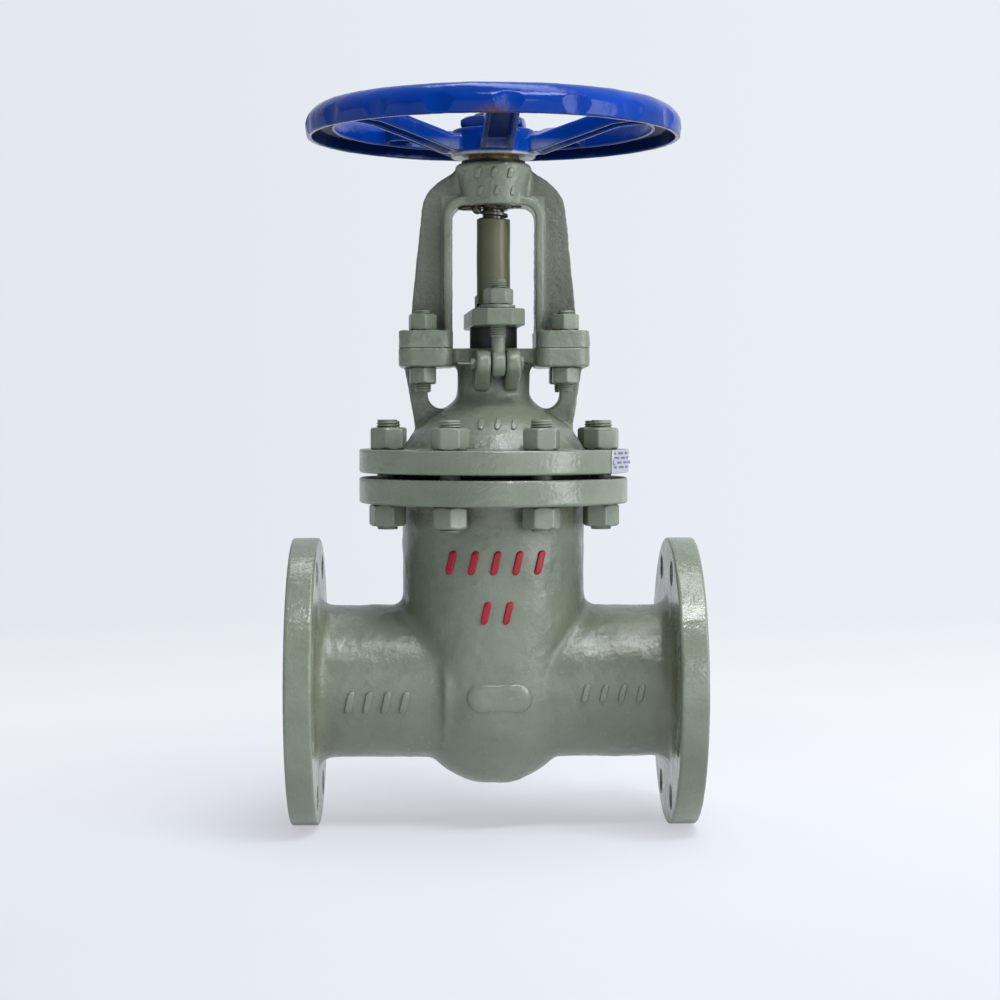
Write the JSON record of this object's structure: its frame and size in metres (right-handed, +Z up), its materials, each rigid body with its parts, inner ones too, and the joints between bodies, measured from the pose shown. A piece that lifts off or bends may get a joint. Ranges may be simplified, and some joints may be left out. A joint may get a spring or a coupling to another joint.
{
  "type": "flanged gate valve",
  "caption": "Flanged wedge gate valve with a bolted bonnet, an outside yoke, a rising stem and a spoked handwheel.",
  "frame": {"origin": "where the axis of the pipe bore meets the axis of the stem, at the centre of the body", "axes": "+X along the pipe, +Z up the stem towards the handwheel, -Y towards the side with the cast size marks"},
  "size_m": [0.305, 0.28, 0.5357],
  "materials": {
    "cast_paint": "semi-gloss grey-green paint on cast steel",
    "stud_paint": "painted steel stud",
    "nut_paint": "painted steel nut",
    "wire_paint": "painted steel wire",
    "gland_paint": "painted steel",
    "guard_paint": "painted sleeve",
    "dark_steel": "dark oiled steel",
    "stem_steel": "machined, greased",
    "machined_cast": "bare cast steel, machined faces",
    "seat_steel": "machined",
    "graphite": "pressed graphite",
    "gasket_dark": "dark sheet gasket",
    "bronze": "machined bronze",
    "wheel_paint": "gloss blue paint on a casting",
    "lock_nut_paint": "gloss blue paint",
    "key_steel": "ground",
    "plate_aluminium": "satin"
  },
  "bodies": {
    "valve_body": {"body": "cast_paint", "seat_ring_left": "seat_steel", "seat_ring_right": "seat_steel", "bonnet_gasket": "gasket_dark", "bonnet": "cast_paint", "bonnet_studs": "stud_paint", "bonnet_nuts_upper": "nut_paint", "bonnet_nuts_lower": "nut_paint", "backseat_bush": "seat_steel", "packing_rings": "graphite", "eye_bolt_front": "stud_paint", "eye_bolt_rear": "stud_paint", "eye_pin_front": "stud_paint", "eye_pin_rear": "stud_paint", "split_pins": "wire_paint", "yoke": "cast_paint", "yoke_studs": "stud_paint", "yoke_nuts_upper": "nut_paint", "yoke_nuts_lower": "nut_paint", "thrust_washer_lower": "dark_steel", "thrust_washer_upper": "dark_steel", "retaining_ring": "dark_steel", "nameplate": "plate_aluminium", "nameplate_rivets": "plate_aluminium"},
    "handwheel_group": {"handwheel": "wheel_paint", "wheel_key": "key_steel", "lock_nut": "lock_nut_paint", "stem_nut": "bronze"},
    "stem_group": {"stem": "stem_steel", "gate": "machined_cast"},
    "gland_group": {"gland_follower": "dark_steel", "gland_flange": "gland_paint", "gland_washer_front": "nut_paint", "gland_washer_rear": "nut_paint", "thread_guard": "guard_paint"},
    "gland_nut_front_group": {"gland_nut_front": "nut_paint"},
    "gland_nut_rear_group": {"gland_nut_rear": "nut_paint"}
  },
  "joints": [
    {"name": "handwheel_spin", "type": "hinge", "parent": "valve_body", "child": "handwheel_group", "pos_m": [0, 0, 0.4], "axis": [0, 0, 1], "range_deg": [0, 7560]},
    {"name": "stem_rise", "type": "slide", "parent": "valve_body", "child": "stem_group", "axis": [0, 0, 1], "range_m": [0, 0.10501]},
    {"name": "gland_take_up", "type": "slide", "parent": "valve_body", "child": "gland_group", "axis": [0, 0, -1], "range_m": [0, 0.00595], "deforming": ["packing_rings"]},
    {"name": "gland_nut_front_turn", "type": "hinge", "parent": "gland_group", "child": "gland_nut_front_group", "pos_m": [0.00256, -0.04192, 0.286], "axis": [0, 0, -1], "range_deg": [0, 1230]},
    {"name": "gland_nut_rear_turn", "type": "hinge", "parent": "gland_group", "child": "gland_nut_rear_group", "pos_m": [-0.00256, 0.04192, 0.286], "axis": [0, 0, -1], "range_deg": [0, 1230]}
  ],
  "couplings": [
    {"joint": "stem_rise", "follows": "handwheel_spin", "m_per_rad": 0.00079577},
    {"joint": "gland_nut_front_turn", "follows": "gland_take_up", "rad_per_m": 3590.4},
    {"joint": "gland_nut_rear_turn", "follows": "gland_take_up", "rad_per_m": 3590.4}
  ]
}
